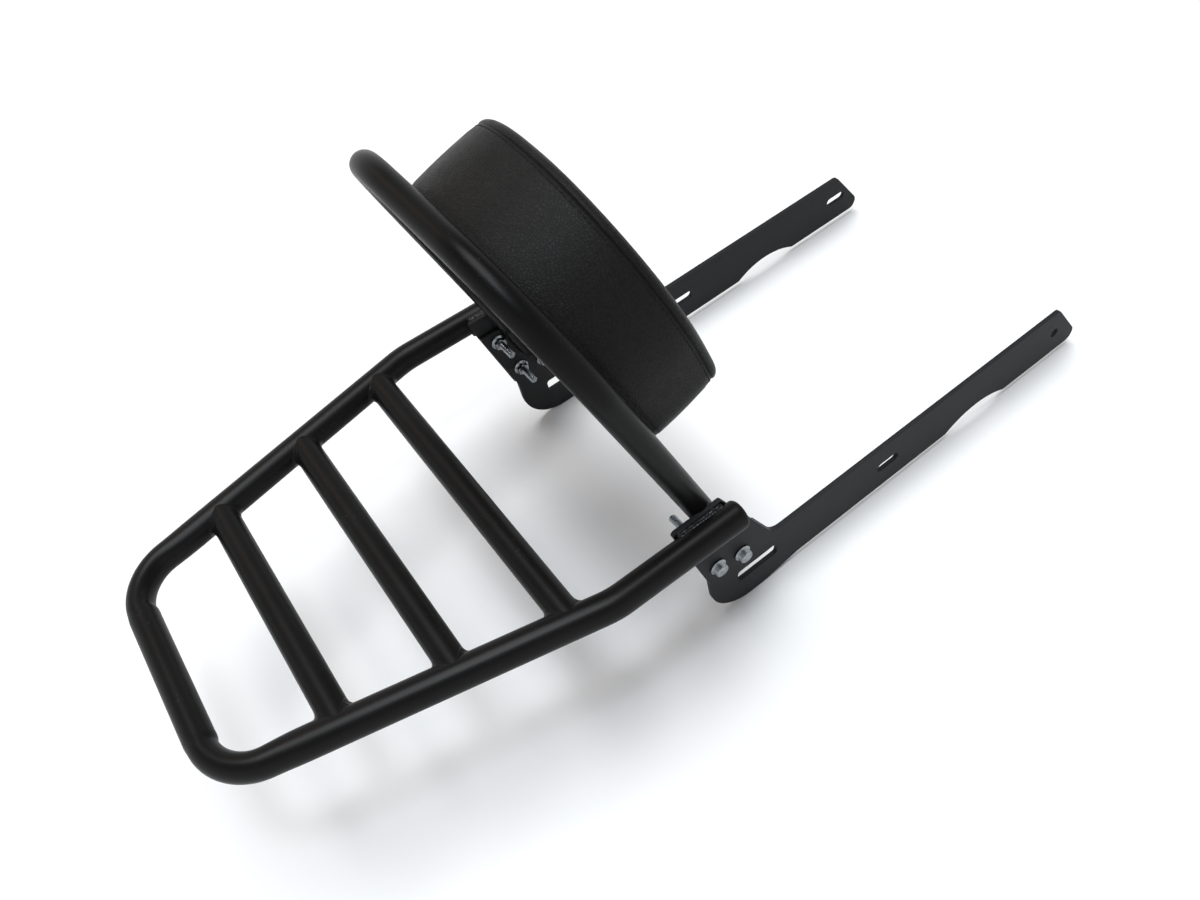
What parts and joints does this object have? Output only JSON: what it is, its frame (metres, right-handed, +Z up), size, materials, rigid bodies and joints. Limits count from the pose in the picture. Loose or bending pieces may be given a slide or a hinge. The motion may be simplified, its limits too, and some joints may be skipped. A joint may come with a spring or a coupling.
{
  "type": "motorcycle rack with backrest",
  "caption": "Sissy bar: bent-tube luggage rack with a padded backrest hoop, on slotted flat arms that bolt along the sides of a motorcycle's tail.",
  "frame": {"origin": "on the plane of symmetry, on the common axis of the two middle slots of the arms", "axes": "+X to the bike's right, +Y forwards along the arms, +Z up"},
  "size_m": [0.33, 0.7736, 0.391],
  "materials": {
    "tube_black": "satin black powder coat",
    "plate_black": "matt black powder coat",
    "zinc": "bright zinc plating",
    "vinyl": "black pebble-grained leatherette",
    "foam": "open-cell foam",
    "board": "plywood"
  },
  "bodies": {
    "root": {"rack_rail": "tube_black", "crossbar_rear": "tube_black", "crossbar_middle": "tube_black", "crossbar_front": "tube_black", "rail_cap_left": "tube_black", "rail_cap_right": "tube_black", "backrest_hoop": "tube_black", "pad_strap_lower": "tube_black", "pad_strap_upper": "tube_black", "bracket_left": "plate_black", "bracket_right": "plate_black", "arm_left": "plate_black", "arm_right": "plate_black", "flange_bolts_left": "zinc", "flange_bolts_right": "zinc", "flange_nuts_left": "zinc", "flange_nuts_right": "zinc", "pad_screws": "zinc", "pad_tee_nuts": "zinc", "pad_cover": "vinyl", "pad_foam": "foam", "pad_board": "board"}
  },
  "joints": []
}
